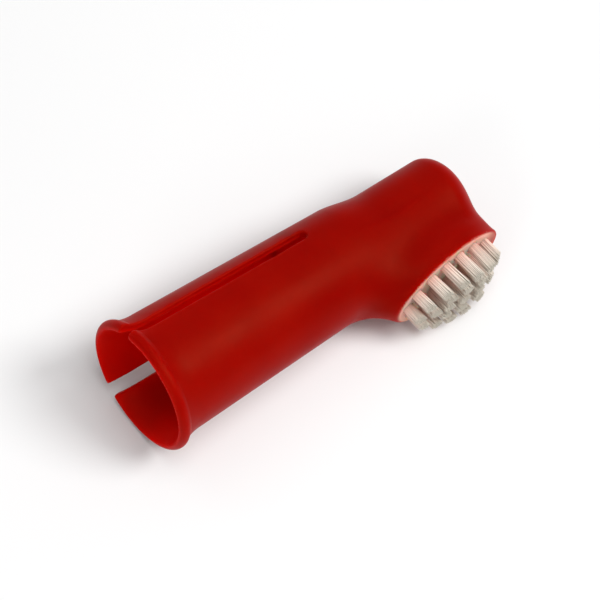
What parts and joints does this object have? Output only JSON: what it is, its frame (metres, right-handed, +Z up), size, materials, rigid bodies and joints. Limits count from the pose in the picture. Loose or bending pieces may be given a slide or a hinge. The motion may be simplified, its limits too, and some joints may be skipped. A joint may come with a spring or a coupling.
{
  "type": "finger toothbrush",
  "caption": "Flexible sleeve that slips over a fingertip, with a slotted back leaf and an oval head of stapled nylon tufts on one side, for brushing a pet's teeth.",
  "frame": {"origin": "centre of the box around the brush as it lies on its side, at the level of the surface it rests on", "axes": "+X towards the closed tip; -Y the way the tufts point; +Z up. The sleeve's own axis slopes down towards the tip by 3.47 degrees, because the brush rests on its mouth bead, the side of its tip and the edge of its head"},
  "size_m": [0.0612, 0.0262, 0.0213],
  "materials": {
    "red_plastic": "satin moulded soft plastic",
    "nylon": "fine ivory nylon filaments",
    "anchor_wire": "drawn flat wire"
  },
  "bodies": {
    "sleeve": {"finger_sleeve": "red_plastic", "anchor_staples": "anchor_wire", "tuft_a1": "nylon", "tuft_a2": "nylon", "tuft_a3": "nylon", "tuft_a4": "nylon", "tuft_a5": "nylon", "tuft_a6": "nylon", "tuft_a7": "nylon", "tuft_a8": "nylon", "tuft_a9": "nylon", "tuft_a10": "nylon", "tuft_a11": "nylon", "tuft_a12": "nylon", "tuft_a13": "nylon", "tuft_a14": "nylon", "tuft_b1": "nylon", "tuft_b2": "nylon", "tuft_b3": "nylon", "tuft_b4": "nylon", "tuft_b5": "nylon", "tuft_b6": "nylon", "tuft_b7": "nylon", "tuft_b8": "nylon", "tuft_c1": "nylon", "tuft_c2": "nylon", "tuft_c3": "nylon"},
    "leaf": {"back_leaf": "red_plastic"}
  },
  "joints": [
    {"name": "leaf_flex", "type": "hinge", "parent": "sleeve", "child": "leaf", "pos_m": [0.00193, 0.01098, 0.00875], "axis": [-0.0606, 0, -0.9982], "range_deg": [0, 5], "stiffness_Nm_per_rad": 0.2}
  ]
}
